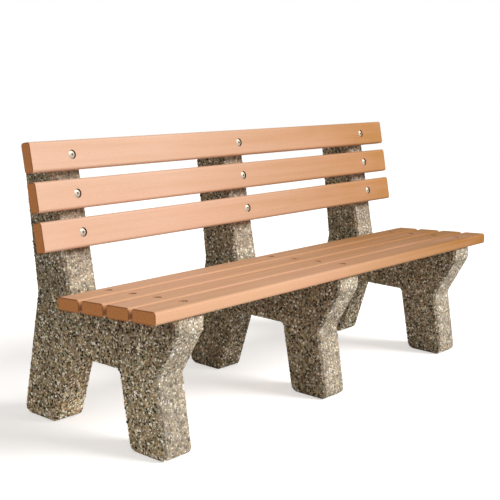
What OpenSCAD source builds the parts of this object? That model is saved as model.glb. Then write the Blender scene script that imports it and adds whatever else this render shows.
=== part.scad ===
// Park bench: seven plastic-lumber planks bolted to three precast concrete frames.
// X runs along the bench, the sitter faces -Y, and Z is up. The origin is on the ground,
// in the middle of the bench's length and of its depth.

/* [Bench] */
// Length of the planks
bench_l = 1830; // [1500:10:2400]
// Height of the seat's front top edge above the ground
seat_h = 464; // [420:2:500]
// Fall of the seat towards the back, in degrees
seat_tilt = 4; // [0:0.5:8]
// Lean of the backrest from upright, in degrees
back_lean = 12.5; // [6:0.5:20]
// Distance of an end frame's middle from the ends of the planks
end_overhang = 153; // [100:1:300]

/* [Planks] */
// Width of a plank
plank_w = 89; // [70:1:110]
// Thickness of a plank
plank_t = 38; // [30:1:45]
// Rounding of a plank's long edges
plank_r = 9; // [3:0.5:12]
// Bevel round a plank's sawn ends
plank_end_bevel = 1.5; // [0.5:0.5:2.5]
// Gap between seat planks
seat_gap = 12; // [5:1:20]
// Gap between back planks
back_gap = 27; // [10:1:40]

/* [Concrete frame] */
// Thickness of a frame along the bench
frame_t = 112; // [80:1:140]
// Bevel along every arris of a frame
arris = 8; // [2:0.5:9]
// Setback of the corbel's face behind the seat's front edge
corbel_setback = 11; // [5:1:30]
// Height of the corbel's upright face
corbel_face_h = 46; // [35:1:80]
// Distance of the front leg's waist behind the seat's front edge
waist_y = 87; // [75:1:110]
// Height of the front leg's waist
waist_z = 236; // [200:1:280]
// Distance of the front toe behind the seat's front edge
toe_y = 42; // [30:1:70]
// Depth of the front foot
front_foot_d = 150; // [110:1:170]
// Depth of the front leg where it meets the arch, measured from the waist
front_leg_d = 155; // [120:1:170]
// Height of the arch between the legs
arch_h = 232; // [180:1:260]
// Gap along the beam between the rear seat plank and the post
post_gap = 60; // [30:1:100]
// Depth of the post where it leaves the beam
post_root_d = 156; // [130:1:180]
// Height of the hollow at the nape, where post and back leg meet
nape_z = 400; // [340:1:430]
// Lean of the post's rear face, in degrees
post_rear_lean = 8.7; // [5:0.1:10]
// Distance of the back leg's inner top corner behind the root of the post
back_leg_inset = 5; // [0:1:30]
// Distance of the heel behind the root of the post
heel_reach = 222; // [190:1:240]
// Depth of the back foot
back_foot_d = 152; // [110:1:170]
// Height along the post from the beam to the lowest back plank
back_rise = 156; // [100:1:200]
// Distance of the post's top below the top of the upper back plank
post_top_drop = 14; // [6:1:30]

/* [Frame corners] */
// Radius at the top of the corbel's face
corbel_top_r = 11; // [10:1:16]
// Radius at the foot of the corbel's face
corbel_foot_r = 15; // [10:1:20]
// Radius of the hollow at the waist
waist_r = 30; // [15:1:40]
// Radius of the front toe
toe_r = 22; // [10:1:30]
// Radius of the front foot's rear corner
front_instep_r = 28; // [10:1:35]
// Radius of the arch's two top corners
arch_r = 16; // [10:1:30]
// Radius of the back foot's front corner
back_instep_r = 24; // [10:1:35]
// Radius of the heel
heel_r = 26; // [10:1:35]
// Radius of the hollow at the nape
nape_r = 80; // [40:1:120]
// Radius of the post's rear top corner
post_top_back_r = 20; // [10:1:30]
// Radius of the post's front top corner
post_top_front_r = 12; // [10:1:20]
// Radius where the beam turns up into the post
post_root_r = 18; // [10:1:30]

/* [Bolts] */
// Diameter of a bolt's shank
bolt_d = 12; // [8:1:14]
// Length of a bolt's shank below its head
bolt_l = 60; // [50:1:68]
// Diameter of a bolt's round head
head_d = 24; // [20:0.5:25]
// Height of a bolt's round head
head_h = 5.5; // [4:0.5:7]
// Height of the upright rim of the head
head_rim_h = 2; // [0.5:0.5:2.5]
// Width across the flats of the hexagon socket
socket_w = 8; // [6:0.5:9]
// Depth of the hexagon socket
socket_depth = 3.5; // [2:0.5:4]
// Diameter of a washer
washer_d = 26; // [25:0.5:28]
// Thickness of a washer
washer_t = 2; // [1.5:0.5:3]
// Diameter of the recess for a bolt's head
recess_d = 28; // [28:0.5:36]
// Depth of the recess for a bolt's head
recess_depth = 8; // [7.5:0.5:14]
// Clearance all round a shank in its hole
bolt_clear = 0.5; // [0.2:0.1:1]

/* [Cast-in steel] */
// Outer diameter of a threaded insert
insert_d = 20; // [18:0.5:24]
// Length of a threaded insert
insert_l = 50; // [46:1:60]
// Diameter of an insert's anchor flange
insert_flange_d = 30; // [26:0.5:36]
// Thickness of an insert's anchor flange
insert_flange_t = 5; // [3:0.5:8]
// Thickness of metal left at the closed end of an insert
insert_floor_t = 6; // [4:0.5:10]
// Clearance all round a shank in its insert
thread_clear = 0.25; // [0.1:0.05:0.5]
// Diameter of a reinforcing bar
bar_d = 10; // [8:1:12]
// Diameter of a tie between the bars
tie_d = 8; // [6:1:10]
// Inner room of concrete around cast-in steel
cast_clear = 0.3; // [0.2:0.05:0.5]
// Concrete cover at the ends of the bars
bar_cover = 40; // [30:1:60]
// Height of the arch bar above the arch
arch_bar_rise = 45; // [35:1:70]
// Bend radius of the bars, at their middle
bar_bend_r = 40; // [30:1:60]
// How much thicker a bar is at its bends
bar_swell = 0.2; // [0.1:0.05:0.5]

/* [Hidden] */
$fn = 64;
// Overshoot of a cutting shape past the face that it cuts
past = 1;
// Lap of a bar's straight run into a bend
bar_lap = 1;
// How far a frame's outward corners lie under the straight sides that they join, and how far
// the cuts of its inward corners bite into them, so that both cut cleanly
post_seam = 0.05;
cove_seam = 0.2;
seat_rows = 4;
back_rows = 3;
frame_x = bench_l / 2 - end_overhang;

// Directions in the side view, whose coordinates are [distance behind the seat's edge, height]
seat_along = [cos(seat_tilt), -sin(seat_tilt)];
seat_up = [sin(seat_tilt), cos(seat_tilt)];
back_along = [sin(back_lean), cos(back_lean)];
back_in = [cos(back_lean), -sin(back_lean)];
post_rear_along = [sin(post_rear_lean), cos(post_rear_lean)];
upright = [0, 1];

// Points of the side view that planks and frames share
seat_depth = row_start(seat_rows, seat_gap) - seat_gap;
back_height = row_start(back_rows, back_gap) - back_gap;
beam_front = [0, seat_h] - plank_t * seat_up;
post_root = beam_front + (seat_depth + post_gap) * seat_along;
back_edge = post_root + back_rise * back_along - plank_t * back_in;

// Corners of a concrete frame, from the corbel down the front, along the ground, up the back
corbel_top = meet(beam_front, seat_along, [corbel_setback, 0], upright);
corbel_foot = corbel_top - corbel_face_h * upright;
waist = [waist_y, waist_z];
toe = [toe_y, 0];
front_instep = [toe_y + front_foot_d, 0];
arch_front = [waist_y + front_leg_d, arch_h];
arch_back = [post_root[0] + back_leg_inset, arch_h];
heel = [post_root[0] + heel_reach, 0];
back_instep = [heel[0] - back_foot_d, 0];
nape = [post_root[0] + post_root_d, nape_z];
post_top_front = post_root + (back_rise + back_height - post_top_drop) * back_along;
post_top_back = meet(post_top_front, back_in, nape, post_rear_along);
frame_corners = [
    corbel_top, corbel_foot, waist, toe, front_instep, arch_front, arch_back,
    back_instep, heel, nape, post_top_back, post_top_front, post_root
];
frame_radii = [
    corbel_top_r, corbel_foot_r, waist_r, toe_r, front_instep_r, arch_r, arch_r,
    back_instep_r, heel_r, nape_r, post_top_back_r, post_top_front_r, post_root_r
];
// Places of the two rearmost corners in that list, counted from 0
heel_corner = 8;
post_top_back_corner = 10;

plank_corners = [[0, -plank_t], [plank_w, -plank_t], [plank_w, 0], [0, 0]];
plank_radii = [plank_r, plank_r, plank_r, plank_r];

// Depth of the bench, and the shift that puts its middle on the origin
front_reach = beam_front[0] + plank_r * (seat_along[0] - seat_along[1] - 1);
back_reach = max(rearmost(heel_corner), rearmost(post_top_back_corner));
y_shift = -(front_reach + back_reach) / 2;

// Routes of the bars: one under all the inserts, one over the arch
bar_depth = insert_l + cast_clear + bar_d / 2;
seat_bar_start = meet(beam_front - bar_depth * seat_up, seat_along,
                      [corbel_setback + bar_cover, 0], upright);
seat_bar_turn = meet(seat_bar_start, seat_along, post_root + bar_depth * back_in, back_along);
seat_bar_end = post_top_front + bar_depth * back_in - bar_cover * back_along;
seat_bar = [seat_bar_start, seat_bar_turn, seat_bar_end];
arch_bar_z = arch_h + arch_bar_rise;
front_bar_low = (toe + front_instep) / 2;
front_bar_high = (waist + arch_front) / 2;
back_bar_low = (back_instep + heel) / 2;
back_bar_high = (arch_back + nape) / 2;
arch_bar_level = [0, arch_bar_z];
foot_bar_level = [0, bar_cover];
level = [1, 0];
arch_bar = [
    meet(front_bar_low, front_bar_high - front_bar_low, foot_bar_level, level),
    meet(front_bar_low, front_bar_high - front_bar_low, arch_bar_level, level),
    meet(back_bar_low, back_bar_high - back_bar_low, arch_bar_level, level),
    meet(back_bar_low, back_bar_high - back_bar_low, foot_bar_level, level)
];
// Ties stand between the two bars, this far in from the bends of the arch bar
tie_inset = bar_bend_r + bar_cover;
tie_places = [arch_bar[1][0] + tie_inset, arch_bar[2][0] - tie_inset];

function cross2(a, b) = a[0] * b[1] - a[1] * b[0];
function unit(v) = v / norm(v);

// Near edge of a row of planks, counted from 0
function row_start(row, gap) = row * (plank_w + gap);

// Point where the line through p along u meets the line through q along v
function meet(p, u, q, v) = p + u * cross2(q - p, v) / cross2(u, v);

// Rounding of corner i: [start of the arc, its end, its centre, its radius, +1 or -1 for
// a left or right turn, the angle turned]
function bend(corners, radii, i) =
    let (
        n = len(corners),
        here = corners[i],
        back = unit(corners[(i + n - 1) % n] - here),
        fore = unit(corners[(i + 1) % n] - here),
        half = acos(back * fore) / 2,
        reach = radii[i] / tan(half),
        centre = here + unit(back + fore) * radii[i] / sin(half)
    )
    [here + back * reach, here + fore * reach, centre, radii[i],
     sign(cross2(-back, fore)), 180 - 2 * half];

// How far back the rounding of a frame's corner i reaches
function rearmost(i) =
    let (rounding = bend(frame_corners, frame_radii, i))
    rounding[2][0] + rounding[3];

// A round post whose end edges are bevelled, for an outward corner
module corner_post(r, thick, bevel) {
    h = thick / 2;
    rotate_extrude()
        polygon([[0, -h], [r - bevel, -h], [r, bevel - h], [r, h - bevel], [r - bevel, h], [0, h]]);
}

// The cut for an inward corner, flared at both ends so that its edges come out bevelled
module corner_cove(r, thick, bevel) {
    h = thick / 2;
    flare = r + bevel + past;
    rotate_extrude()
        polygon([[0, -h - past], [flare, -h - past], [r, bevel - h],
                 [r, h - bevel], [flare, h + past], [0, h + past]]);
}

// The cut that bevels one straight arris from a to b, with the solid on its left
module arris_cut(a, b, bevel) {
    run = b - a;
    translate(a)
        rotate([0, 0, atan2(run[1], run[0])])
        translate([-past, 0, 0])
        rotate([90, 0, 90])
        linear_extrude(norm(run) + 2 * past)
        polygon([[bevel + past, past], [-past, -bevel - past], [-past, past]]);
}

// A slab with a rounded outline, in the XY plane and centred on it, all its arrises bevelled
module bevelled_slab(corners, radii, thick, bevel, post_seam = 0, cove_seam = 0) {
    n = len(corners);
    bends = [for (i = [0:n - 1]) bend(corners, radii, i)];
    outline = [for (b = bends) each (b[4] > 0 ? [b[0], b[2], b[1]] : [b[0], b[1]])];
    difference() {
        union() {
            difference() {
                translate([0, 0, -thick / 2])
                    linear_extrude(thick)
                    polygon(outline);
                for (i = [0:n - 1], side = [0, 1])
                    mirror([0, 0, side])
                        translate([0, 0, thick / 2])
                        arris_cut(bends[i][1], bends[(i + 1) % n][0], bevel);
            }
            for (b = bends)
                if (b[4] > 0)
                    translate(b[2])
                        corner_post(b[3] - post_seam, thick, bevel);
        }
        for (b = bends)
            if (b[4] < 0)
                translate(b[2])
                    corner_cove(b[3] + cove_seam, thick, bevel + cove_seam);
    }
}

// A straight round bar between two points of the XY plane
module straight_bar(a, b, d) {
    run = b - a;
    translate(a)
        rotate([0, 0, atan2(run[1], run[0])])
        rotate([0, 90, 0])
        cylinder(d = d, h = norm(run));
}

// A round bar along a path in the XY plane, with one bend radius. It swells a little where it
// is bent, and its straight runs lap into the bends.
module bent_bar(path, bend_r, d) {
    n = len(path);
    radii = [for (p = path) bend_r];
    bends = [for (i = [1:n - 2]) bend(path, radii, i)];
    starts = concat([path[0]], [for (b = bends) b[1]]);
    ends = concat([for (b = bends) b[0]], [path[n - 1]]);
    for (i = [0:n - 2]) {
        lap = unit(ends[i] - starts[i]) * bar_lap;
        straight_bar(starts[i] - (i > 0 ? lap : [0, 0]), ends[i] + (i < n - 2 ? lap : [0, 0]), d);
    }
    for (b = bends) {
        first = (b[4] > 0 ? b[0] : b[1]) - b[2];
        translate(b[2])
            rotate([0, 0, atan2(first[1], first[0])])
            rotate_extrude(angle = b[5])
            translate([bend_r, 0])
            circle(d = d + bar_swell);
    }
}

// Turns a shape drawn in the side view upright, so that it stands across the bench
module side_view() {
    translate([0, y_shift, 0])
        rotate([90, 0, 90])
        children();
}

// Puts children in the middle of a seat plank's top, with Z square to it
module on_seat_plank(row) {
    translate([0, y_shift, seat_h])
        rotate([-seat_tilt, 0, 0])
        translate([0, row_start(row, seat_gap) + plank_w / 2, 0])
        children();
}

// Puts children in the middle of a back plank's front, with Z square to it
module on_back_plank(row) {
    translate([0, y_shift + back_edge[0], back_edge[1]])
        rotate([90 - back_lean, 0, 0])
        translate([0, row_start(row, back_gap) + plank_w / 2, 0])
        children();
}

module at_each_frame() {
    for (x = [-frame_x, 0, frame_x])
        translate([x, 0, 0])
            children();
}

// Puts children on the concrete behind every plank of one frame, at its bolt
module at_each_seating() {
    for (row = [0:seat_rows - 1])
        on_seat_plank(row)
            translate([0, 0, -plank_t])
            children();
    for (row = [0:back_rows - 1])
        on_back_plank(row)
            translate([0, 0, -plank_t])
            children();
}

// Outside of a threaded insert with its mouth at Z = 0, grown by a clearance
module insert_body(grow) {
    translate([0, 0, -insert_l - grow])
        cylinder(d = insert_flange_d + 2 * grow, h = insert_flange_t + 2 * grow);
    translate([0, 0, -insert_l])
        cylinder(d = insert_d + 2 * grow, h = insert_l);
}

module threaded_insert() {
    difference() {
        insert_body(0);
        translate([0, 0, insert_floor_t - insert_l])
            cylinder(d = bolt_d + 2 * thread_clear, h = insert_l);
    }
}

// Bars of one frame, welded together, grown by a clearance
module bar_cage(grow) {
    side_view() {
        bent_bar(seat_bar, bar_bend_r, bar_d + 2 * grow);
        bent_bar(arch_bar, bar_bend_r, bar_d + 2 * grow);
        for (y = tie_places)
            straight_bar([y, arch_bar_z], meet([y, 0], upright, seat_bar_start, seat_along),
                         tie_d + 2 * grow);
    }
}

module concrete_frame() {
    difference() {
        side_view()
            bevelled_slab(frame_corners, frame_radii, frame_t, arris, post_seam, cove_seam);
        at_each_seating() {
            insert_body(cast_clear);
            cylinder(d = insert_d + 2 * cast_clear, h = past);
        }
        bar_cage(cast_clear);
    }
}

// One plank with its three bolt holes, its top face centred on the origin
module plank() {
    difference() {
        translate([0, -plank_w / 2, 0])
            rotate([90, 0, 90])
            bevelled_slab(plank_corners, plank_radii, bench_l, plank_end_bevel);
        at_each_frame() {
            translate([0, 0, -recess_depth])
                cylinder(d = recess_d, h = recess_depth + past);
            translate([0, 0, -plank_t - past])
                cylinder(d = bolt_d + 2 * bolt_clear, h = plank_t);
        }
    }
}

// A washer lying on the floor of its recess
module washer() {
    translate([0, 0, -recess_depth])
        difference() {
            cylinder(d = washer_d, h = washer_t);
            translate([0, 0, -past])
                cylinder(d = bolt_d + 2 * bolt_clear, h = washer_t + 2 * past);
        }
}

// A round-headed bolt seated on its washer
module bolt() {
    dome_h = head_h - head_rim_h;
    dome_r = (head_d * head_d / 4 + dome_h * dome_h) / (2 * dome_h);
    translate([0, 0, washer_t - recess_depth]) {
        difference() {
            intersection() {
                cylinder(d = head_d, h = head_h);
                translate([0, 0, head_h - dome_r])
                    sphere(r = dome_r);
            }
            translate([0, 0, head_h - socket_depth])
                cylinder(d = socket_w / cos(30), h = socket_depth + past, $fn = 6);
        }
        translate([0, 0, -bolt_l])
            cylinder(d = bolt_d, h = bolt_l);
    }
}

module frame_at(x) {
    color("darkgray")
        translate([x, 0, 0])
        concrete_frame();
}

module bars_at(x) {
    color("sienna")
        translate([x, 0, 0])
        bar_cage(0);
}

module inserts_at(x) {
    color("goldenrod")
        translate([x, 0, 0])
        at_each_seating()
        threaded_insert();
}

module left_frame() { frame_at(-frame_x); }
module middle_frame() { frame_at(0); }
module right_frame() { frame_at(frame_x); }
module left_frame_bars() { bars_at(-frame_x); }
module middle_frame_bars() { bars_at(0); }
module right_frame_bars() { bars_at(frame_x); }
module left_frame_inserts() { inserts_at(-frame_x); }
module middle_frame_inserts() { inserts_at(0); }
module right_frame_inserts() { inserts_at(frame_x); }

module seat_plank(row) { color("lightsalmon") on_seat_plank(row) plank(); }
module seat_bolts(row) { color("silver") on_seat_plank(row) at_each_frame() bolt(); }
module seat_washers(row) { color("gainsboro") on_seat_plank(row) at_each_frame() washer(); }
module back_plank(row) { color("lightsalmon") on_back_plank(row) plank(); }
module back_bolts(row) { color("silver") on_back_plank(row) at_each_frame() bolt(); }
module back_washers(row) { color("gainsboro") on_back_plank(row) at_each_frame() washer(); }

left_frame();
middle_frame();
right_frame();
left_frame_bars();
middle_frame_bars();
right_frame_bars();
left_frame_inserts();
middle_frame_inserts();
right_frame_inserts();
seat_plank(0);  // seat_plank_1
seat_plank(1);  // seat_plank_2
seat_plank(2);  // seat_plank_3
seat_plank(3);  // seat_plank_4
back_plank(0);  // back_plank_1
back_plank(1);  // back_plank_2
back_plank(2);  // back_plank_3
seat_bolts(0);  // seat_plank_1_bolts
seat_bolts(1);  // seat_plank_2_bolts
seat_bolts(2);  // seat_plank_3_bolts
seat_bolts(3);  // seat_plank_4_bolts
back_bolts(0);  // back_plank_1_bolts
back_bolts(1);  // back_plank_2_bolts
back_bolts(2);  // back_plank_3_bolts
seat_washers(0);  // seat_plank_1_washers
seat_washers(1);  // seat_plank_2_washers
seat_washers(2);  // seat_plank_3_washers
seat_washers(3);  // seat_plank_4_washers
back_washers(0);  // back_plank_1_washers
back_washers(1);  // back_plank_2_washers
back_washers(2);  // back_plank_3_washers
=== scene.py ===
# %% [markdown]
# # A garden bench of planks and cast concrete
# The real bench is three precast concrete frames that carry seven planks of plastic lumber.
# Each plank is held by three round-headed bolts, sunk in recesses. The solids are already
# exact, so this lesson starts from them as a fixed frame. It adds what a drawing leaves out:
# the stones of the exposed aggregate, the grain of the planks and the light.

# %% Load the fixed frame
import math
import bpy
import bmesh
from mathutils import Matrix, Vector


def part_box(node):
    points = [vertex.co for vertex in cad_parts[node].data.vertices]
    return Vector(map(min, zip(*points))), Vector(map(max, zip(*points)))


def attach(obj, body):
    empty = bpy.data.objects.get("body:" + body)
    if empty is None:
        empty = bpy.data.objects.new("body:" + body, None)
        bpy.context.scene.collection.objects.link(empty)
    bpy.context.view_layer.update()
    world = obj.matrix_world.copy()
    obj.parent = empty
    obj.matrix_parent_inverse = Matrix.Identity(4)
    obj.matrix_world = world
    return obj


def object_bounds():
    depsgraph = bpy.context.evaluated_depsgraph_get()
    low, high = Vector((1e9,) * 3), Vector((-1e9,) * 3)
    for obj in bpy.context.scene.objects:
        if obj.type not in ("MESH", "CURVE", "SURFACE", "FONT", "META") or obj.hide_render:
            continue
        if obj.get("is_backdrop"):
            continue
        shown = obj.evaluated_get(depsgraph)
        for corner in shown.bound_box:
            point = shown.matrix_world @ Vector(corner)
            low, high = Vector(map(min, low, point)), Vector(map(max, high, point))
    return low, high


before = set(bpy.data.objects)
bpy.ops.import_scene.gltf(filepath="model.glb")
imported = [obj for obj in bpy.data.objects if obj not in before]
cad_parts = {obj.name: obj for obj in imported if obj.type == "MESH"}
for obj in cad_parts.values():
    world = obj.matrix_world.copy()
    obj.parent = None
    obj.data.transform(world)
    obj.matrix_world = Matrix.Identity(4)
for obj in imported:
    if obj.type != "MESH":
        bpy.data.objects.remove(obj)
cad_low, cad_high = (Vector(corner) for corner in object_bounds())
print("the solids reach from", tuple(cad_low), "to", tuple(cad_high))

# %% [markdown]
# ## The pieces by family
# Pieces of one kind share a finish. The names tell the kind: three frames of concrete, and
# seven planks, each with a node for its bolts and one for its washers.

# %% Sort the nodes into families
SIDES = ("left", "middle", "right")
concrete_frames = [f"{side}_frame" for side in SIDES]
seat_planks = [f"seat_plank_{row}" for row in (1, 2, 3, 4)]
back_planks = [f"back_plank_{row}" for row in (1, 2, 3)]
planks = seat_planks + back_planks
print(len(concrete_frames), "frames and", len(planks), "planks")

# %% [markdown]
# ## The camera
# The camera stands to the left of the bench, a little above its back, and looks down a
# little. Its place and angles give a rotation matrix, whose columns are the camera's right,
# its up, and the way back towards the viewer.

# %% Place the camera
CAMERA_PLACE = Vector((-2.8079, -2.2061, 1.1475))
CAMERA_YAW, CAMERA_PITCH, CAMERA_ROLL = (math.radians(a) for a in (-50.513, -10.863, 1.851))
FOCAL_LENGTH_MM = 75.33
SENSOR_MM = 36.0


def look_matrix(place, yaw, pitch, roll):
    """Matrix of a camera at a place, turned left by yaw, up by pitch and rolled."""
    ahead = Vector((-math.sin(yaw) * math.cos(pitch), math.cos(yaw) * math.cos(pitch),
                    math.sin(pitch)))
    level_right = ahead.cross(Vector((0, 0, 1))).normalized()
    level_up = level_right.cross(ahead)
    right = math.cos(roll) * level_right + math.sin(roll) * level_up
    up = math.cos(roll) * level_up - math.sin(roll) * level_right
    turned = Matrix((right, up, -ahead)).transposed().to_4x4()
    return Matrix.Translation(place) @ turned


lens = bpy.data.cameras.new("camera")
lens.lens, lens.sensor_width, lens.sensor_fit = FOCAL_LENGTH_MM, SENSOR_MM, "HORIZONTAL"
camera = bpy.data.objects.new("camera", lens)
bpy.context.scene.collection.objects.link(camera)
camera.matrix_world = look_matrix(CAMERA_PLACE, CAMERA_YAW, CAMERA_PITCH, CAMERA_ROLL)
bpy.context.scene.camera = camera
bpy.context.scene.view_settings.view_transform = "Standard"
print("camera at", tuple(CAMERA_PLACE), "with a lens of", FOCAL_LENGTH_MM, "mm")

# %% [markdown]
# ## Helpers for node trees
# Materials, the world and Geometry Nodes are all trees of nodes. One helper adds a node, sets
# its options, and fills each input with a value or with a link from another node's output.
# The others stand for the nodes that are used most, so that a tree can be written like a sum.


# %% Add a node and do sums with its output
def add(tree, kind, inputs=None, **options):
    """A new node of a tree. An input is given by name or number, as a value or an output."""
    made = tree.nodes.new(kind)
    for name, value in options.items():
        setattr(made, name, value)
    for key, value in (inputs or {}).items():
        if isinstance(value, bpy.types.NodeSocket):
            tree.links.new(value, made.inputs[key])
        else:
            made.inputs[key].default_value = value
    return made


def maths(tree, operation, *values, clamp=False):
    """The output of a Math node with the given values."""
    made = add(tree, "ShaderNodeMath", dict(enumerate(values)), operation=operation,
               use_clamp=clamp)
    return made.outputs[0]


def product(tree, first, *others):
    """Several values multiplied with each other, from left to right."""
    for other in others:
        first = maths(tree, "MULTIPLY", first, other)
    return first


def fitted(tree, value, low, high, to_low, to_high):
    """A value carried over from one range to another, and kept inside it."""
    made = add(tree, "ShaderNodeMapRange", {0: value, 1: low, 2: high, 3: to_low, 4: to_high})
    return made.outputs[0]


helpers = (add, maths, product, fitted)
print("a tree can be written with", ", ".join(helper.__name__ for helper in helpers))


# %% Mix colours
def srgb(red, green, blue):
    """A colour as it shows on a screen, from 0 to 255, made linear for a shader."""
    def linear(channel):
        c = channel / 255
        return c / 12.92 if c <= 0.04045 else ((c + 0.055) / 1.055) ** 2.4
    return (linear(red), linear(green), linear(blue), 1.0)


def mixed(tree, share, first, second):
    """The colour between two colours, at a share that runs from 0 to 1."""
    # A Mix node has inputs for numbers and vectors too, so its colours are inputs 6 and 7.
    made = add(tree, "ShaderNodeMix", {0: share, 6: first, 7: second}, data_type="RGBA")
    return made.outputs[2]


def scaled_by(tree, colour, tone):
    """A colour made lighter or darker."""
    made = add(tree, "ShaderNodeVectorMath", {0: colour, 3: tone}, operation="SCALE")
    return made.outputs[0]


print("the middle grey of a screen is", round(srgb(128, 128, 128)[0], 3), "to a shader")

# %% Start a material and give it relief
NOISE_ROUGHNESS = 0.55


def noise(tree, place, scale, detail=3.0):
    """The grey value of a noise, at so many features to the metre."""
    made = add(tree, "ShaderNodeTexNoise", {"Vector": place, "Scale": scale, "Detail": detail,
                                            "Roughness": NOISE_ROUGHNESS})
    return made.outputs[0]


def new_material(name):
    """An empty material, its tree, the place on the piece, and its shader."""
    material = bpy.data.materials.new(name)
    material.use_nodes = True
    tree = material.node_tree
    tree.nodes.clear()
    place = add(tree, "ShaderNodeTexCoord").outputs["Object"]
    shader = add(tree, "ShaderNodeBsdfPrincipled")
    add(tree, "ShaderNodeOutputMaterial", {"Surface": shader.outputs[0]})
    return material, tree, place, shader


def bumped(tree, shader, height, depth):
    """Lets a height from 0 to 1 stand for a relief of a depth in metres."""
    made = add(tree, "ShaderNodeBump", {"Height": height, "Distance": depth})
    tree.links.new(made.outputs[0], shader.inputs["Normal"])


print("materials read the place on a piece, in metres")

# %% [markdown]
# ## Exposed aggregate
# The concrete was washed before it set, so small river stones stand out of a grey-brown
# mortar. Most are tan or grey, with some that are nearly black and some nearly white. One
# function gives the colours, so that the stones which are drawn by the shader and those which
# are modelled come from the same heap. It reads a random value in steps, one for each kind of
# stone, and clouds the colour a little.

# %% Choose the colours of the stones
STONE_COLOURS = [
    (0.00, srgb(30, 27, 22)), (0.10, srgb(72, 60, 44)), (0.20, srgb(112, 99, 68)),
    (0.28, srgb(130, 114, 94)), (0.38, srgb(172, 154, 120)), (0.50, srgb(162, 130, 106)),
    (0.56, srgb(150, 150, 126)), (0.64, srgb(180, 168, 160)), (0.72, srgb(206, 192, 160)),
    (0.82, srgb(232, 224, 206)), (0.89, srgb(170, 134, 96)), (0.92, srgb(245, 241, 233)),
]
BROAD, NARROW = (0.3, 0.7), (0.35, 0.65)  # the part of a noise's range that is spread out
CLOUDS_PER_METRE, CLOUD_TONES = 700.0, (0.82, 1.12)


def stepped(tree, value, stops):
    """A colour read in steps from (place, colour) stops."""
    made = add(tree, "ShaderNodeValToRGB", {0: value})
    bar = made.color_ramp
    bar.interpolation = "CONSTANT"
    while len(bar.elements) < len(stops):
        bar.elements.new(1.0)
    for element, (place, colour) in zip(bar.elements, stops):
        element.position, element.color = place, colour
    return made.outputs[0]


def stone_colour(tree, pick, place):
    """The colour of the stone that a random value picks, clouded a little."""
    plain = stepped(tree, pick, STONE_COLOURS)
    cloud = fitted(tree, noise(tree, place, CLOUDS_PER_METRE), *BROAD, *CLOUD_TONES)
    return scaled_by(tree, plain, cloud)


print(len(STONE_COLOURS), "kinds of stone")

# %% [markdown]
# ## Painted light on the concrete
# The concrete's colour carries painted light and shade. Faces that look forwards and a little
# up, towards the sun, on the front legs and on the posts above the seat, are painted paler and
# with less contrast, as painted light. The noses of the corbels, just under the seat's front
# edge, get a painted highlight and are the palest. The sides close under the planks get
# painted shade, and the feet of the left frame are painted lighter towards the ground, as
# painted light from the floor. Each of these places is a value from 0 to 1, found from the
# place on the bench and from the way that the surface faces. Whatever fades with a height, a
# depth or a direction has two numbers, where it starts and where it ends.

# %% Find the places of painted light and shade
seat_rear, seat_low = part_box("seat_plank_4")[1].y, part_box("seat_plank_4")[0].z
# Faces that look to the sun's side are painted paler, as painted light.
SUN_SIDE, FACING_IT = (0.0, -0.95, 0.3), (0.4, 0.75)
FRONT_DEPTHS, POST_HEIGHTS = (-0.2, -0.1), (seat_low, seat_low + 0.04)
NOSE_BELOW, NOSE_ABOVE = (0.2, 0.4), (0.44, 0.5)
LEFT_FRAME, FOOT_HEIGHTS = (-0.7, -0.5), (0.0, 0.45)
SHADE_HEIGHTS, SHADE_DEPTHS = (seat_low - 0.14, seat_low), (seat_rear - 0.06, seat_rear)


def dotted(tree, place, direction):
    """How far a place lies along a direction."""
    made = add(tree, "ShaderNodeVectorMath", {0: place, 1: direction}, operation="DOT_PRODUCT")
    return made.outputs["Value"]


def on_sunlit_faces(tree, y, z):
    """1 on the faces that look towards the sun, where painted light goes."""
    normal = add(tree, "ShaderNodeNewGeometry").outputs["Normal"]
    forward = fitted(tree, dotted(tree, normal, SUN_SIDE), *FACING_IT, 0.0, 1.0)
    front = fitted(tree, y, *FRONT_DEPTHS, 1.0, 0.0)
    post = fitted(tree, z, *POST_HEIGHTS, 0.0, 1.0)
    return product(tree, forward, maths(tree, "MAXIMUM", front, post))


def on_lit_nose(tree, z, sunlit):
    """1 on the noses of the corbels, where a highlight is painted."""
    above_leg = fitted(tree, z, *NOSE_BELOW, 0.0, 1.0)
    below_post = fitted(tree, z, *NOSE_ABOVE, 1.0, 0.0)
    return product(tree, above_leg, below_post, sunlit)


def floor_light_on_left_feet(tree, x, z, sunlit):
    """1 at the ground on the left frame's sides, fading upwards: painted light from the floor.
    """
    left = fitted(tree, maths(tree, "ADD", x, sunlit), *LEFT_FRAME, 1.0, 0.0)
    return product(tree, left, fitted(tree, z, *FOOT_HEIGHTS, 1.0, 0.0))


def under_seat(tree, y, z, sunlit):
    """1 close under the planks, on the faces that stay in their shade: painted shade."""
    near = fitted(tree, z, *SHADE_HEIGHTS, 0.0, 1.0)
    below = fitted(tree, y, *SHADE_DEPTHS, 1.0, 0.0)
    return product(tree, near, below, maths(tree, "SUBTRACT", 1.0, sunlit))


print("the seat's underside is at a height of", round(seat_low, 3), "m")

# %% Paint light and shade into a colour
# The pale colour and its share are painted light on the sunlit faces. The tones are the
# painted highlight on the noses, the painted floor light on the left feet and the painted
# shade under the seat.
LIT_FACE_PALE, LIT_FACE_PALE_SHARE = srgb(196, 185, 171), 0.35
NOSE_HIGHLIGHT, FEET_FLOOR_LIGHT, SHADE_TONE = 1.27, 2.08, 0.82
PATCHES_PER_METRE, PATCH_TONES = 9.0, (0.98, 1.22)
CLUSTERS_PER_METRE, CLUSTER_TONES = 42.0, (0.8, 1.18)


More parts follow.
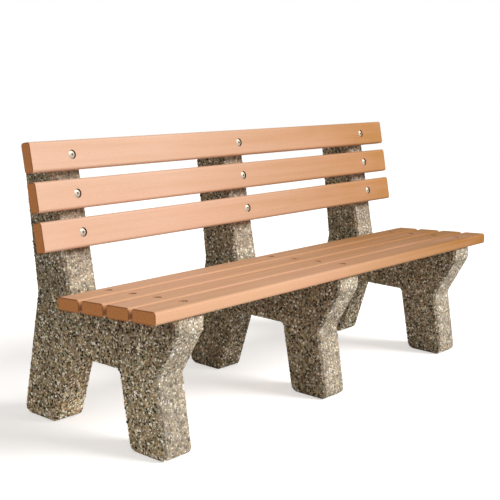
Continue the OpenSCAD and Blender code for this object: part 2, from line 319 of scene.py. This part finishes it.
def painted_light_and_patches(tree, place, colour):
    """A colour with painted light and shade by its place, made uneven by the hand's breadth.
    """
    x, y, z = add(tree, "ShaderNodeSeparateXYZ", {0: place}).outputs
    sunlit = on_sunlit_faces(tree, y, z)
    colour = mixed(tree, maths(tree, "MULTIPLY", sunlit, LIT_FACE_PALE_SHARE), colour, LIT_FACE_PALE)
    feet = fitted(tree, floor_light_on_left_feet(tree, x, z, sunlit), 0.0, 1.0, 1.0, FEET_FLOOR_LIGHT)
    shade = fitted(tree, under_seat(tree, y, z, sunlit), 0.0, 1.0, 1.0, SHADE_TONE)
    nose = fitted(tree, on_lit_nose(tree, z, sunlit), 0.0, 1.0, 1.0, NOSE_HIGHLIGHT)
    patch = fitted(tree, noise(tree, place, PATCHES_PER_METRE), *BROAD, *PATCH_TONES)
    cluster = fitted(tree, noise(tree, place, CLUSTERS_PER_METRE), *NARROW, *CLUSTER_TONES)
    tone = product(tree, feet, shade, nose, product(tree, patch, cluster))
    return scaled_by(tree, colour, tone)


print("noses are", NOSE_HIGHLIGHT, "times as light, and the sides under the seat", SHADE_TONE)

# %% [markdown]
# ## The concrete's own surface
# A Voronoi texture breaks the concrete into cells like the stones of the aggregate, and each
# cell has a random value to pick its colour by. A second one gives the distance to the cell's
# edge, where sandy mortar shows between the stones and the surface lies deeper. These fine
# stones fill the space between the larger ones, which are modelled further on.

# %% Mix the concrete
FINE_STONES_PER_METRE, SAND_PER_METRE = 155.0, 1400.0
MORTAR_DARK, MORTAR_LIGHT = srgb(90, 80, 62), srgb(156, 144, 120)
STONE_EDGE, STONE_CROWN = (0.05, 0.13), (0.0, 0.35)
MORTAR_ROUGH, STONE_ROUGH = 0.95, 0.62
CROWN_SHARE, SAND_SHARE = 0.8, 0.25
CONCRETE_RELIEF, CONCRETE_GLOSS = 0.0009, 0.12

concrete, tree, place, shader = new_material("exposed_aggregate")
cells = {"Vector": place, "Scale": FINE_STONES_PER_METRE, "Randomness": 1.0}
cell = add(tree, "ShaderNodeTexVoronoi", cells)
edge = add(tree, "ShaderNodeTexVoronoi", cells, feature="DISTANCE_TO_EDGE").outputs[0]
pick = add(tree, "ShaderNodeSeparateColor", {0: cell.outputs["Color"]}).outputs[0]
sand = noise(tree, place, SAND_PER_METRE, detail=2.0)
mortar = mixed(tree, sand, MORTAR_DARK, MORTAR_LIGHT)
is_stone = fitted(tree, edge, *STONE_EDGE, 0.0, 1.0)
surface = mixed(tree, is_stone, mortar, stone_colour(tree, pick, place))
tree.links.new(painted_light_and_patches(tree, place, surface), shader.inputs["Base Color"])
tree.links.new(fitted(tree, is_stone, 0.0, 1.0, MORTAR_ROUGH, STONE_ROUGH),
               shader.inputs["Roughness"])
relief = maths(tree, "ADD", fitted(tree, edge, *STONE_CROWN, 0.0, CROWN_SHARE),
               maths(tree, "MULTIPLY", sand, SAND_SHARE))
bumped(tree, shader, relief, CONCRETE_RELIEF)
shader.inputs["Specular IOR Level"].default_value = CONCRETE_GLOSS
print("concrete has", len(tree.nodes), "nodes")

# %% Give the modelled stones the same colours
SPECKS_PER_METRE, PITS_PER_METRE = 300.0, 900.0
STONE_ROUGHNESS = (0.45, 0.75)
STONE_RELIEF, STONE_GLOSS = 0.0003, 0.15

stones, tree, place, shader = new_material("aggregate_stones")
pick = add(tree, "ShaderNodeAttribute", attribute_name="stone").outputs["Fac"]
tree.links.new(painted_light_and_patches(tree, place, stone_colour(tree, pick, place)),
               shader.inputs["Base Color"])
specks = noise(tree, place, SPECKS_PER_METRE)
tree.links.new(fitted(tree, specks, *BROAD, *STONE_ROUGHNESS), shader.inputs["Roughness"])
bumped(tree, shader, noise(tree, place, PITS_PER_METRE), STONE_RELIEF)
shader.inputs["Specular IOR Level"].default_value = STONE_GLOSS
print("stones have", len(tree.nodes), "nodes")

# %% [markdown]
# ## Plastic lumber
# The planks are foamed plastic with wood flour, extruded, so their colour runs in long faint
# streaks and the face has a fine lengthwise texture. Where a plank is sawn or drilled, the
# core shows, which is browner and duller; in the recesses of the back planks it is painted
# darker still, as painted shade. The shader knows the cut faces by their place: the sawn ends
# by how far along the plank they are, and the drilled recesses by how deep they lie under the
# face. So it needs the directions of each row of planks, which are measured from the washers,
# because those sit in the middle of every plank.

# %% Measure the rows of planks
END_BEVEL = 0.0015


def middle_of(node):
    """The middle of a node's box."""
    low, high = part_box(node)
    return (low + high) / 2


def row_of(names):
    """Which way a row of planks runs and where on that line it starts, how far its planks
    are apart, the normal of its faces, and how far along that normal they lie."""
    first, last = middle_of(names[0] + "_washers"), middle_of(names[-1] + "_washers")
    across = (last - first).normalized()
    normal = Vector((1, 0, 0)).cross(across)
    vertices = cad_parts[names[0]].data.vertices
    return {"across": across, "start": first @ across,
            "pitch": (last - first).length / (len(names) - 1),
            "normal": normal, "level": max(v.co @ normal for v in vertices)}


plank_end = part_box("seat_plank_1")[1].x - END_BEVEL
frame_spacing = middle_of("right_frame").x
seat_row, back_row = row_of(seat_planks), row_of(back_planks)
for row in (seat_row, back_row):
    normal = tuple(round(c, 3) for c in row["normal"])
    print("planks", round(row["pitch"], 4), "m apart, with the normal", normal)

# %% Find the drilled recesses
RECESS_RADIUS = 0.0143
FACE_SKIN = 0.0004


def rise_in(tree, place, row):
    """How far a place lies from the middle of a row's first plank, across the planks."""
    return maths(tree, "SUBTRACT", dotted(tree, place, row["across"]), row["start"])


def from_bolt(tree, place, row):
    """How far a place lies from the nearest bolt's axis, for a row of planks."""
    from_middle = maths(tree, "ABSOLUTE", dotted(tree, place, (1.0, 0.0, 0.0)))
    past_end_frame = maths(tree, "SUBTRACT", from_middle, frame_spacing)
    beside = maths(tree, "MINIMUM", from_middle, maths(tree, "ABSOLUTE", past_end_frame))
    beyond = maths(tree, "PINGPONG", rise_in(tree, place, row), row["pitch"] / 2)
    both = add(tree, "ShaderNodeCombineXYZ", {0: beside, 1: beyond}).outputs[0]
    return add(tree, "ShaderNodeVectorMath", {0: both}, operation="LENGTH").outputs["Value"]


def drilled(tree, place, row):
    """1 on the wall and floor of every recess of a row of planks, and 0 elsewhere."""
    height = dotted(tree, place, row["normal"])
    under = maths(tree, "LESS_THAN", height, row["level"] - FACE_SKIN)
    inside = maths(tree, "LESS_THAN", from_bolt(tree, place, row), RECESS_RADIUS)
    return maths(tree, "MULTIPLY", under, inside)


print("a recess is", round(2000 * RECESS_RADIUS, 1), "mm wide")

# %% Find the rims of the sawn ends and the sides in the gaps
PLANK_WIDTH, PLANK_THICKNESS = 0.089, 0.038
GAP_SIDE = (0.8, 0.95)


def inside_rim(tree, place, row):
    """How far a place on a sawn end lies inside the plank's outline."""
    beyond = maths(tree, "PINGPONG", rise_in(tree, place, row), row["pitch"] / 2)
    beside = maths(tree, "SUBTRACT", PLANK_WIDTH / 2, beyond)
    depth = maths(tree, "SUBTRACT", row["level"], dotted(tree, place, row["normal"]))
    below = maths(tree, "SUBTRACT", PLANK_THICKNESS, depth)
    return maths(tree, "MINIMUM", beside, maths(tree, "MINIMUM", depth, below))


def in_gap(tree, place, normal, row):
    """1 on the long sides of the planks, but not on the front edge of the row."""
    side = maths(tree, "ABSOLUTE", dotted(tree, normal, row["across"]))
    past_front = maths(tree, "GREATER_THAN", rise_in(tree, place, row), -PLANK_WIDTH / 4)
    return maths(tree, "MULTIPLY", fitted(tree, side, *GAP_SIDE, 0.0, 1.0), past_front)


print("planks of", round(1000 * PLANK_WIDTH), "by", round(1000 * PLANK_THICKNESS), "mm")

# %% [markdown]
# ## The colours of a plank
# A face runs from pale cedar at the left end to a deeper one at the right; the paler left
# end is painted light, which falls off along the bench. It has streaks and a few reddish
# clouds. Fine grain and weave make it uneven, faces that look up are painted a little darker
# as painted shade, and the sides of the seat's planks get painted shade in their gaps. The
# core is speckled by its pores, and a dark rim of painted shade runs along the outline of a
# sawn end. Noise that is stretched along the plank gives all that runs lengthwise.

# %% Colour the faces
# The back's drilled colour is dark, as painted shade in its recesses; the seat's is near the
# core's own colour.
BACK_LOOK = {"pale": srgb(226, 184, 158), "deep": srgb(187, 132, 77),
             "drilled": srgb(120, 76, 46), "gap_share": 0.0}
SEAT_LOOK = {"pale": srgb(224, 175, 139), "deep": srgb(167, 112, 48),
             "drilled": srgb(196, 140, 100), "gap_share": 0.6}
# The span over which the painted light of the left end falls off towards the right.
LEFT_LIGHT_FALLOFF, STREAK_SHIFTS = (-0.4, 0.9), (-0.08, 0.12)
FACE_RED, RED_CLOUDS, RED_SHARE = srgb(224, 168, 144), (0.5, 0.75), 0.3
CLOUD_STRETCH, WEAVE_STRETCH = (3.0, 9.0, 9.0), (70.0, 330.0, 330.0)
GRAIN_TONES, WEAVE_TONES = (0.475, 0.52), (0.47, 0.525)
# Faces that look up are painted a little darker, as painted shade.
FACING_UP, TOP_SHADE = (0.5, 0.95), 0.86
GAP_SHADE = srgb(146, 88, 54)


def stretched(tree, place, scales):
    """A place measured with its own scale along each axis."""
    made = add(tree, "ShaderNodeVectorMath", {0: place, 1: scales}, operation="MULTIPLY")
    return made.outputs[0]


def face_colour(tree, place, along, streak, grain, row, look):
    """The streaked face of a plank, painted lighter at its left end as painted light, and with
    painted shade on top and in the gaps.
    """
    falloff = fitted(tree, along, *LEFT_LIGHT_FALLOFF, 0.0, 1.0)
    shift = fitted(tree, streak, *BROAD, *STREAK_SHIFTS)
    blend = maths(tree, "ADD", falloff, shift, clamp=True)
    face = mixed(tree, blend, look["pale"], look["deep"])
    cloud = noise(tree, stretched(tree, place, CLOUD_STRETCH), 1.0)
    face = mixed(tree, fitted(tree, cloud, *RED_CLOUDS, 0.0, RED_SHARE), face, FACE_RED)
    weave = noise(tree, stretched(tree, place, WEAVE_STRETCH), 1.0, detail=2.0)
    shade = maths(tree, "ADD", fitted(tree, grain, *BROAD, *GRAIN_TONES),
                  fitted(tree, weave, *BROAD, *WEAVE_TONES))
    normal = add(tree, "ShaderNodeNewGeometry").outputs["Normal"]
    top_shade = fitted(tree, dotted(tree, normal, (0.0, 0.0, 1.0)), *FACING_UP, 1.0, TOP_SHADE)
    face = scaled_by(tree, face, product(tree, shade, top_shade))
    gap = product(tree, in_gap(tree, place, normal, row), look["gap_share"])
    return mixed(tree, gap, face, GAP_SHADE)


print("cedar fades from", LEFT_LIGHT_FALLOFF[0], "to", LEFT_LIGHT_FALLOFF[1], "m along the bench")

# %% Colour the core and mix the planks
# The rim colour is painted shade along the outline of a sawn end.
CORE_DARK, CORE_LIGHT, CORE_RIM_SHADE = srgb(190, 122, 68), srgb(234, 160, 102), srgb(134, 66, 34)
RIM_WIDTH, RIM_SHARE = 0.0045, 0.75
STREAK_STRETCH, GRAIN_STRETCH = (1.4, 55.0, 55.0), (14.0, 900.0, 900.0)
PORES_PER_METRE = 900.0
FACE_ROUGHNESS, CUT_ROUGHNESS = (0.55, 0.7), 0.85
GRAIN_SHARE, PORE_SHARE = 0.6, 0.4
PLANK_RELIEF, PLANK_GLOSS = 0.00025, 0.2


def core_colour(tree, place, pores, row):
    """The speckled core of a sawn end, with a dark rim of painted shade along its outline."""
    core = mixed(tree, fitted(tree, pores, *NARROW, 0.0, 1.0), CORE_DARK, CORE_LIGHT)
    rim = fitted(tree, inside_rim(tree, place, row), 0.0, RIM_WIDTH, RIM_SHARE, 0.0)
    return mixed(tree, rim, core, CORE_RIM_SHADE)


def plank_material(name, row, look):
    """Plastic lumber: streaked faces, with a browner core where it is sawn or drilled, and
    with painted light and shade on the faces, the rims and the back's recesses.
    """
    material, tree, place, shader = new_material(name)
    streak = noise(tree, stretched(tree, place, STREAK_STRETCH), 1.0, detail=4.0)
    grain = noise(tree, stretched(tree, place, GRAIN_STRETCH), 1.0, detail=2.0)
    pores = noise(tree, place, PORES_PER_METRE, detail=2.0)
    along = add(tree, "ShaderNodeSeparateXYZ", {0: place}).outputs[0]
    face = face_colour(tree, place, along, streak, grain, row, look)
    sawn = maths(tree, "GREATER_THAN", maths(tree, "ABSOLUTE", along), plank_end)
    hole = drilled(tree, place, row)
    undrilled = mixed(tree, sawn, face, core_colour(tree, place, pores, row))
    colour = mixed(tree, hole, undrilled, look["drilled"])
    tree.links.new(colour, shader.inputs["Base Color"])
    cut = product(tree, maths(tree, "MAXIMUM", sawn, hole), CUT_ROUGHNESS)
    dull = fitted(tree, streak, *BROAD, *FACE_ROUGHNESS)
    tree.links.new(maths(tree, "MAXIMUM", dull, cut), shader.inputs["Roughness"])
    relief = maths(tree, "ADD", product(tree, grain, GRAIN_SHARE),
                   product(tree, pores, PORE_SHARE))
    bumped(tree, shader, relief, PLANK_RELIEF)
    shader.inputs["Specular IOR Level"].default_value = PLANK_GLOSS
    return material


cedar_back = plank_material("cedar_back", back_row, BACK_LOOK)
cedar_seat = plank_material("cedar_seat", seat_row, SEAT_LOOK)
print("a plank's material has", len(cedar_seat.node_tree.nodes), "nodes")

# %% [markdown]
# ## Steel
# Bolts and washers are zinc plated: a bright, slightly mottled metal, whose coat on the bolts
# has gone dull in the weather. The bolts of the seat are painted a little warmer, as a painted
# reflection of the planks around them. Dirt lies in the sockets of the bolts. The inserts have
# a yellow passivation and the bars are rusty. Both are inside the concrete, and get their
# finish for whoever takes the bench apart.

# %% Finish the steel
SOCKET_RADIUS = 0.0044
GRIME, GRIME_ROUGHNESS = srgb(170, 160, 144), 0.8
METAL_RELIEF, PITS_PER_MOTTLE = 0.0001, 4


def steel_material(name, dark, light, metallic, roughness, scale, row=None):
    """Mottled metal between two colours and two roughnesses, with grime in the sockets of
    the bolts if it is told which row of planks they hold."""
    material, tree, place, shader = new_material(name)
    mottle = noise(tree, place, scale, detail=4.0)
    colour = mixed(tree, fitted(tree, mottle, *NARROW, 0.0, 1.0), dark, light)
    rough = fitted(tree, mottle, *BROAD, *reversed(roughness))
    shader.inputs["Metallic"].default_value = metallic
    if row:
        socket = maths(tree, "LESS_THAN", from_bolt(tree, place, row), SOCKET_RADIUS)
        colour = mixed(tree, socket, colour, GRIME)
        rough = maths(tree, "MAXIMUM", rough, product(tree, socket, GRIME_ROUGHNESS))
        clean = fitted(tree, socket, 0.0, 1.0, metallic, 0.0)
        tree.links.new(clean, shader.inputs["Metallic"])
    tree.links.new(colour, shader.inputs["Base Color"])
    tree.links.new(rough, shader.inputs["Roughness"])
    bumped(tree, shader, noise(tree, place, scale * PITS_PER_MOTTLE), METAL_RELIEF)
    return material


# The seat's bolts are tinted warm as a painted reflection of the planks.
zinc_seat_bolt = steel_material("zinc_seat_bolt", srgb(198, 172, 144), srgb(228, 204, 178),
                                0.4, (0.5, 0.65), 260.0, seat_row)
zinc_back_bolt = steel_material("zinc_back_bolt", srgb(189, 180, 165), srgb(225, 215, 198),
                                0.5, (0.5, 0.62), 260.0, back_row)
zinc_washer = steel_material("zinc_washer", srgb(160, 158, 150), srgb(204, 202, 194), 1.0,
                             (0.4, 0.55), 320.0)
yellow_insert = steel_material("yellow_insert", srgb(170, 148, 84), srgb(206, 188, 124), 1.0,
                               (0.3, 0.45), 300.0)
rusty_bar = steel_material("rusty_bar", srgb(84, 46, 28), srgb(142, 84, 50), 0.2,
                           (0.75, 0.95), 220.0)
print("five kinds of steel")


# %% Dress every node of the frame
def finish_for(node):
    """The material that a node wears, by the kind that its name tells."""
    if node.endswith("_frame"):
        return concrete
    if node.endswith("_bars"):
        return rusty_bar
    if node.endswith("_inserts"):
        return yellow_insert
    if node.endswith("_bolts"):
        return zinc_seat_bolt if node.startswith("seat") else zinc_back_bolt
    if node.endswith("_washers"):
        return zinc_washer
    return cedar_seat if node in seat_planks else cedar_back


for name, node_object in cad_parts.items():
    if not node_object.material_slots:
        node_object.data.materials.append(None)
    for slot in node_object.material_slots:
        slot.material = finish_for(name)
print("dressed", len(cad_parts), "nodes")

# %% [markdown]
# ## The mould that the stones are strewn on
# Stones belong on the outside of a frame only, and not in the holes for its inserts and bars.
# A copy of the frame's mesh is cleaned for that. Its loose triangles are merged, whatever lies
# near the middle of its thickness is deleted, which takes all the holes away, and the two
# faces that lost their holes are closed again.

# %% Make a clean mould of each frame
HOLE_ZONE = 0.030
MERGE_DISTANCE = 1e-5


def clean_mould(node):
    """The outer skin of a frame as one closed mesh without holes."""
    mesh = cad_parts[node].data.copy()
    middle = middle_of(node).x
    work = bmesh.new()
    work.from_mesh(mesh)
    bmesh.ops.remove_doubles(work, verts=work.verts, dist=MERGE_DISTANCE)
    inner = [v for v in work.verts if abs(v.co.x - middle) < HOLE_ZONE]
    bmesh.ops.delete(work, geom=inner, context="VERTS")
    open_edges = [e for e in work.edges if len(e.link_faces) == 1]
    closed = bmesh.ops.holes_fill(work, edges=open_edges, sides=0)
    bmesh.ops.triangulate(work, faces=closed["faces"])
    left_open = sum(len(e.link_faces) != 2 for e in work.edges)
    print(node, "mould:", len(work.faces), "faces,", left_open, "open edges")
    work.to_mesh(mesh)
    work.free()
    mesh.name = f"{node}_mould"
    return bpy.data.objects.new(mesh.name, mesh)


moulds = {node: clean_mould(node) for node in concrete_frames}

# %% Join the planks into one thing that the stones keep clear of
cover = bmesh.new()
for node in planks:
    cover.from_mesh(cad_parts[node].data)
cover_mesh = bpy.data.meshes.new("plank_cover")
cover.to_mesh(cover_mesh)
cover.free()
plank_cover = bpy.data.objects.new("plank_cover", cover_mesh)
print("the planks together have", len(cover_mesh.polygons), "faces")

# %% [markdown]
# ## Strewing the stones
# A Geometry Nodes tree strews points on the mould, at least a stone's breadth apart, and
# leaves out those next to the ground and against the planks. Each point gets a stone: a
# flattened ball of twenty faces, turned at random about the surface's own direction, and
# about two thirds sunk in the mortar. Every stone stores a random number, which the material
# reads to choose its colour.

# %% Give the tree of stones its inputs
STONE_INPUTS = [
    ("Spacing", "NodeSocketFloat", 0.0086), ("Smallest", "NodeSocketFloat", 0.006),
    ("Largest", "NodeSocketFloat", 0.013), ("Sunk share", "NodeSocketFloat", 0.32),
    ("Clear of planks", "NodeSocketFloat", 0.003), ("Planks", "NodeSocketObject", None),
    ("Seed", "NodeSocketInt", 0), ("Material", "NodeSocketMaterial", None),
    ("Lowest", "NodeSocketVector", (0.0, 0.0, 0.0)),
    ("Highest", "NodeSocketVector", (0.0, 0.0, 0.0)),
]
strew = bpy.data.node_groups.new("strew_stones", "GeometryNodeTree")
strew.interface.new_socket("Geometry", in_out="INPUT", socket_type="NodeSocketGeometry")
for label, kind, start in STONE_INPUTS:
    socket = strew.interface.new_socket(label, in_out="INPUT", socket_type=kind)
    if start is not None:
        socket.default_value = start
strew.interface.new_socket("Geometry", in_out="OUTPUT", socket_type="NodeSocketGeometry")
given = add(strew, "NodeGroupInput").outputs
print("the tree takes", ", ".join(label for label, kind, start in STONE_INPUTS))

# %% Strew the points
MOST_POINTS_PER_SQUARE_METRE = 40000.0

points = add(strew, "GeometryNodeDistributePointsOnFaces",
             {"Mesh": given["Geometry"], "Distance Min": given["Spacing"],
              "Density Max": MOST_POINTS_PER_SQUARE_METRE, "Seed": given["Seed"]},
             distribute_method="POISSON")
here = add(strew, "GeometryNodeInputPosition").outputs[0]
height = add(strew, "ShaderNodeSeparateXYZ", {0: here}).outputs[2]
shelter = add(strew, "GeometryNodeObjectInfo", {"Object": given["Planks"]})
near = add(strew, "GeometryNodeProximity", {0: shelter.outputs["Geometry"]})
too_near = maths(strew, "LESS_THAN", near.outputs["Distance"], given["Clear of planks"])
too_low = maths(strew, "LESS_THAN", height, given["Smallest"])
unwanted = maths(strew, "MAXIMUM", too_near, too_low)
kept = add(strew, "GeometryNodeDeleteGeometry",
           {"Geometry": points.outputs["Points"], "Selection": unwanted}, domain="POINT")
print("points are strewn by", len(strew.nodes), "nodes")

# %% Put a stone on every point
SIZE_SEED, SHAPE_SEED, SPIN_SEED, COLOUR_SEED = 3, 5, 7, 11
FLATTEST, FULLEST = (0.75, 0.6, 0.32), (1.1, 0.9, 0.52)


def random_value(low, high, seed, kind="FLOAT"):
    """The output of a Random Value node, for numbers or for vectors."""
    if kind == "FLOAT":
        made = add(strew, "FunctionNodeRandomValue", {2: low, 3: high, "Seed": seed})
        return made.outputs[1]
    made = add(strew, "FunctionNodeRandomValue", {0: low, 1: high, "Seed": seed},
               data_type="FLOAT_VECTOR")
    return made.outputs[0]


# The ball is 1 m across, so a stone's size in metres is the scale of its ball.
ball = add(strew, "GeometryNodeMeshIcoSphere", {"Radius": 0.5, "Subdivisions": 1})
round_ball = add(strew, "GeometryNodeSetShadeSmooth", {0: ball.outputs[0]})
sunk = add(strew, "ShaderNodeCombineXYZ",
           {2: maths(strew, "MULTIPLY", -0.5, given["Sunk share"])}).outputs[0]
low_ball = add(strew, "GeometryNodeTransform", {"Geometry": round_ball.outputs[0],
                                                "Translation": sunk})
size = random_value(given["Smallest"], given["Largest"], SIZE_SEED)
shape = random_value(FLATTEST, FULLEST, SHAPE_SEED, "VECTOR")
scaled = add(strew, "ShaderNodeVectorMath", {0: shape, 3: size}, operation="SCALE").outputs[0]
spin = random_value((0.0, 0.0, -math.pi), (0.0, 0.0, math.pi), SPIN_SEED, "VECTOR")
spun = add(strew, "FunctionNodeEulerToRotation", {0: spin}).outputs[0]
turned = add(strew, "FunctionNodeRotateRotation", {0: points.outputs["Rotation"], 1: spun},
             rotation_space="LOCAL")
placed = add(strew, "GeometryNodeInstanceOnPoints",
             {"Points": kept.outputs[0], "Instance": low_ball.outputs[0],
              "Rotation": turned.outputs[0], "Scale": scaled})
print("stones are placed by", len(strew.nodes), "nodes")

# %% Number the stones, make them real and keep them inside the bench's own box
number = random_value(0.0, 1.0, COLOUR_SEED)
numbered = add(strew, "GeometryNodeStoreNamedAttribute",
               {"Geometry": placed.outputs[0], "Name": "stone", "Value": number},
               data_type="FLOAT", domain="INSTANCE")
real = add(strew, "GeometryNodeRealizeInstances", {0: numbered.outputs[0]})
above = add(strew, "ShaderNodeVectorMath", {0: here, 1: given["Lowest"]}, operation="MAXIMUM")
inside = add(strew, "ShaderNodeVectorMath", {0: above.outputs[0], 1: given["Highest"]},
             operation="MINIMUM")
held = add(strew, "GeometryNodeSetPosition", {"Geometry": real.outputs[0],
                                              "Position": inside.outputs[0]})
coloured = add(strew, "GeometryNodeSetMaterial", {"Geometry": held.outputs[0],
                                                  "Material": given["Material"]})
add(strew, "NodeGroupOutput", {0: coloured.outputs[0]})
print("the whole tree has", len(strew.nodes), "nodes")


# %% Strew stones on the three frames
def socket_id(label):
    """The identifier of a named input of the stone tree."""
    return next(item.identifier for item in strew.interface.items_tree
                if item.name == label and item.in_out == "INPUT")


def stones_on(node, seed):
    """Strews the stones of one frame and makes them a plain mesh."""
    mould = moulds[node]
    bpy.context.scene.collection.objects.link(mould)
    modifier = mould.modifiers.new("stones", "NODES")
    modifier.node_group = strew
    values = {"Seed": seed, "Planks": plank_cover, "Material": stones,
              "Lowest": cad_low, "Highest": cad_high}
    for label, value in values.items():
        modifier[socket_id(label)] = value
    graph = bpy.context.evaluated_depsgraph_get()
    mesh = bpy.data.meshes.new_from_object(mould.evaluated_get(graph),
                                           preserve_all_data_layers=True, depsgraph=graph)
    mould.modifiers.clear()
    bpy.data.objects.remove(mould)
    mesh.name = f"{node}_stones"
    piece = bpy.data.objects.new(mesh.name, mesh)
    bpy.context.scene.collection.objects.link(piece)
    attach(piece, "root")
    print(piece.name, "has", len(mesh.polygons), "faces")


bpy.context.scene.collection.objects.link(plank_cover)
for seed, node in enumerate(concrete_frames, start=1):
    stones_on(node, seed)
bpy.data.objects.remove(plank_cover)

# %% [markdown]
# ## Floor and background
# The bench stands on a plain white studio floor. Its material fades out with distance, so no
# edge shows where the floor ends and the white background starts. Seen by the camera it is
# lifted to white where the light falls, and the shadow stays.

# %% Lay the floor
FLOOR_RADIUS = 14.0
FADE_START, FADE_END = 4.0, 9.0
FLOOR_COLOUR, WHITE = (0.8, 0.8, 0.8, 1.0), (1.0, 1.0, 1.0, 1.0)
FLOOR_LIFT = 0.55

floor_mesh = bpy.data.meshes.new("floor")
corners = [(FLOOR_RADIUS * x, FLOOR_RADIUS * y, 0.0)
           for x, y in ((-1, -1), (1, -1), (1, 1), (-1, 1))]
floor_mesh.from_pydata(corners, [], [(0, 1, 2, 3)])
floor = bpy.data.objects.new("floor", floor_mesh)
bpy.context.scene.collection.objects.link(floor)
print("floor of", 2 * FLOOR_RADIUS, "m across")

# %% Paint the floor white
floor_white = bpy.data.materials.new("floor_white")
floor_white.use_nodes = True
tree = floor_white.node_tree
tree.nodes.clear()
place = add(tree, "ShaderNodeTexCoord").outputs["Object"]
distance = add(tree, "ShaderNodeVectorMath", {0: place}, operation="LENGTH").outputs["Value"]
fade = fitted(tree, distance, FADE_START, FADE_END, 0.0, 1.0)
matt = add(tree, "ShaderNodeBsdfDiffuse", {"Color": FLOOR_COLOUR})
seen = add(tree, "ShaderNodeLightPath").outputs["Is Camera Ray"]
lift = add(tree, "ShaderNodeEmission", {"Color": WHITE,
                                        "Strength": maths(tree, "MULTIPLY", seen, FLOOR_LIFT)})
lit = add(tree, "ShaderNodeAddShader", {0: matt.outputs[0], 1: lift.outputs[0]})
clear = add(tree, "ShaderNodeBsdfTransparent")
shown = add(tree, "ShaderNodeMixShader", {0: fade, 1: lit.outputs[0], 2: clear.outputs[0]})
add(tree, "ShaderNodeOutputMaterial", {"Surface": shown.outputs[0]})
floor_mesh.materials.append(floor_white)
floor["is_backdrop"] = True
print("the floor fades out from", FADE_START, "to", FADE_END, "m")

# %% [markdown]
# ## Light
# One broad sun from the front right lights the planks' faces and leaves the ends in shade,
# and a pale sky fills the rest. Together they give a face that looks at the sun about the
# light at which its colour shows as it was written. The camera and the metal see a white
# background, whatever the sky gives.

# %% Set the sky
SKY_COLOUR, SKY_LEVEL = (1.0, 0.94, 0.84, 1.0), 0.31

world = bpy.data.worlds.new("studio")
bpy.context.scene.world = world
world.use_nodes = True
tree = world.node_tree
tree.nodes.clear()
rays = add(tree, "ShaderNodeLightPath").outputs
plain = maths(tree, "MAXIMUM", rays["Is Camera Ray"],
              maths(tree, "MAXIMUM", rays["Is Glossy Ray"], rays["Is Transmission Ray"]))
sky = add(tree, "ShaderNodeBackground", {"Color": SKY_COLOUR, "Strength": SKY_LEVEL})
white = add(tree, "ShaderNodeBackground", {"Color": WHITE, "Strength": 1.0})
both = add(tree, "ShaderNodeMixShader", {0: plain, 1: sky.outputs[0], 2: white.outputs[0]})
add(tree, "ShaderNodeOutputWorld", {"Surface": both.outputs[0]})
print("a sky of strength", SKY_LEVEL)

# %% Hang the sun
SUN_STRENGTH, SUN_COLOUR = 3.1, (1.0, 0.995, 0.985)
SUN_FROM = Vector((0.43, -0.65, 0.60))
SUN_BREADTH = math.radians(28)

sun_light = bpy.data.lights.new("sun", "SUN")
sun_light.energy, sun_light.angle = SUN_STRENGTH, SUN_BREADTH
sun_light.color = SUN_COLOUR
sun = bpy.data.objects.new("sun", sun_light)
bpy.context.scene.collection.objects.link(sun)
sun.rotation_euler = SUN_FROM.to_track_quat("Z", "Y").to_euler()
print("sun from", tuple(round(c, 2) for c in SUN_FROM.normalized()))
